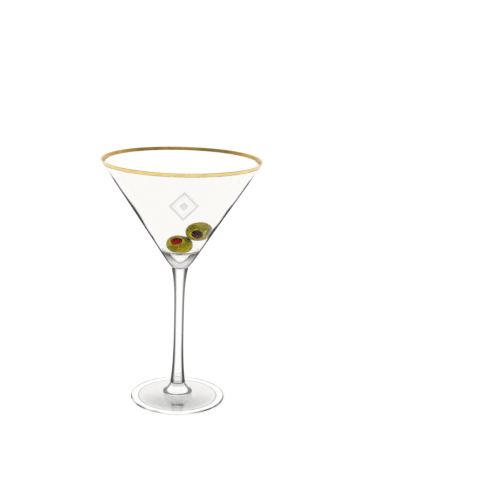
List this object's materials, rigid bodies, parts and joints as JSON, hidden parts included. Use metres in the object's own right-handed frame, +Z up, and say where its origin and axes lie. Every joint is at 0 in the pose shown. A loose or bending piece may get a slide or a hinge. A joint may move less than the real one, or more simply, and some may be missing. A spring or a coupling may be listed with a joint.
{
  "type": "stemmed martini glass with olives",
  "caption": "Stemmed cocktail glass with a wide conical bowl, gilded lip, slim flared stem and round foot, holding loose pepper-stuffed olives.",
  "frame": {"origin": "centre of the foot's resting plane, on the glass's axis", "axes": "+Z up along the stem, +X to the right of the glass's decorated front, -Y towards that front"},
  "size_m": [0.1198, 0.1198, 0.1885],
  "materials": {
    "bowl_glass": "clear polished",
    "gilding": "burnished gold",
    "stem_glass": "clear polished",
    "collar_glass": "clear polished",
    "foot_glass": "clear polished",
    "lower_olive_flesh": "moist, slightly mottled",
    "lower_olive_pepper": "moist",
    "upper_olive_flesh": "moist, slightly mottled",
    "upper_olive_pepper": "moist"
  },
  "bodies": {
    "glass": {"bowl": "bowl_glass", "gold_rim_band": "gilding", "stem": "stem_glass", "foot_collar": "collar_glass", "foot": "foot_glass"},
    "olive_lower": {"lower_olive": "lower_olive_flesh", "lower_olive_pimiento": "lower_olive_pepper"},
    "olive_upper": {"upper_olive": "upper_olive_flesh", "upper_olive_pimiento": "upper_olive_pepper"}
  },
  "joints": [
    {"name": "lower_olive_lift", "type": "slide", "parent": "glass", "child": "olive_lower", "axis": [0, 0, 1], "range_m": [0, 0.08]},
    {"name": "upper_olive_lift", "type": "slide", "parent": "olive_lower", "child": "olive_upper", "axis": [0, 0, 1], "range_m": [0, 0.07]}
  ]
}
